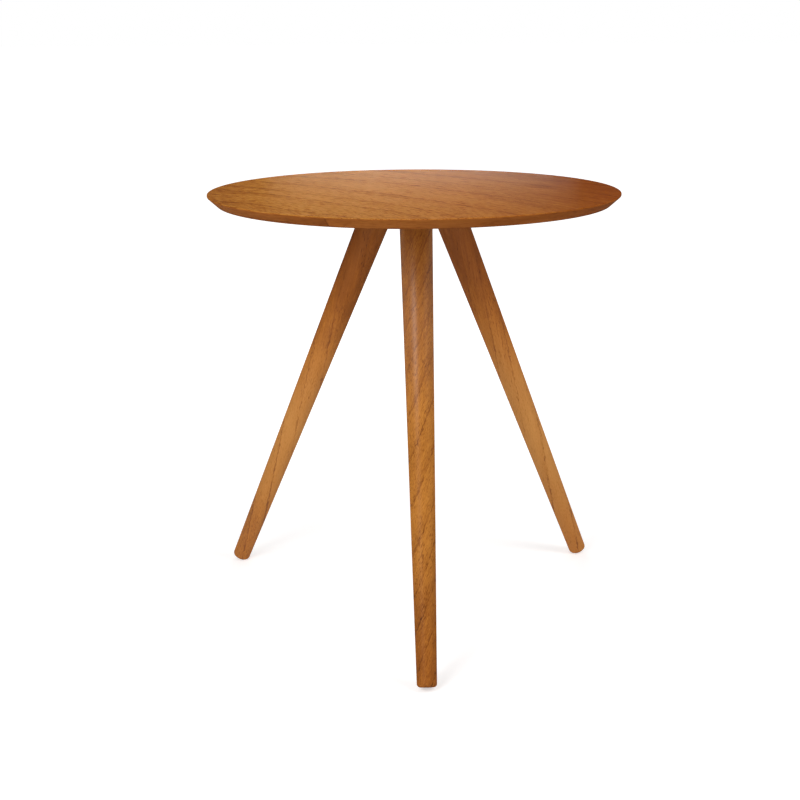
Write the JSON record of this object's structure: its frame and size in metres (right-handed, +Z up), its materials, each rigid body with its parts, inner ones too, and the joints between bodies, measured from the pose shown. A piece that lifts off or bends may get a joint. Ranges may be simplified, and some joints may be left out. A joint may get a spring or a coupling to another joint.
{
  "type": "tripod side table",
  "caption": "Round wooden side table with a thin bevelled top on three splayed, tapered round legs.",
  "frame": {"origin": "on the table's vertical axis, at the level of the floor that the three feet stand on", "axes": "+Z up through the centre of the top; -Y towards the front leg; +X to the right as seen from the front"},
  "size_m": [0.5, 0.5336, 0.528],
  "materials": {
    "face_wood": "veneer under clear satin lacquer, warm orange-brown, fine open pores",
    "edge_wood": "edge veneer under clear satin lacquer, darker red-brown",
    "backing_wood": "backing veneer, thinly lacquered, matt",
    "board_core": "raw fibreboard, hidden between the veneers",
    "leg_wood": "turned solid wood under clear satin lacquer, long grain along the leg",
    "bracket_steel": "black powder coat, matt",
    "zinc_steel": "bright zinc plating"
  },
  "bodies": {
    "root": {"top_core": "board_core", "face_veneer": "face_wood", "backing_veneer": "backing_wood", "edge_veneer": "edge_wood", "tripod_plate": "bracket_steel", "plate_screws": "zinc_steel", "front_socket": "bracket_steel", "left_socket": "bracket_steel", "right_socket": "bracket_steel", "front_hanger_bolt": "zinc_steel", "left_hanger_bolt": "zinc_steel", "right_hanger_bolt": "zinc_steel", "front_leg": "leg_wood", "left_leg": "leg_wood", "right_leg": "leg_wood"}
  },
  "joints": []
}
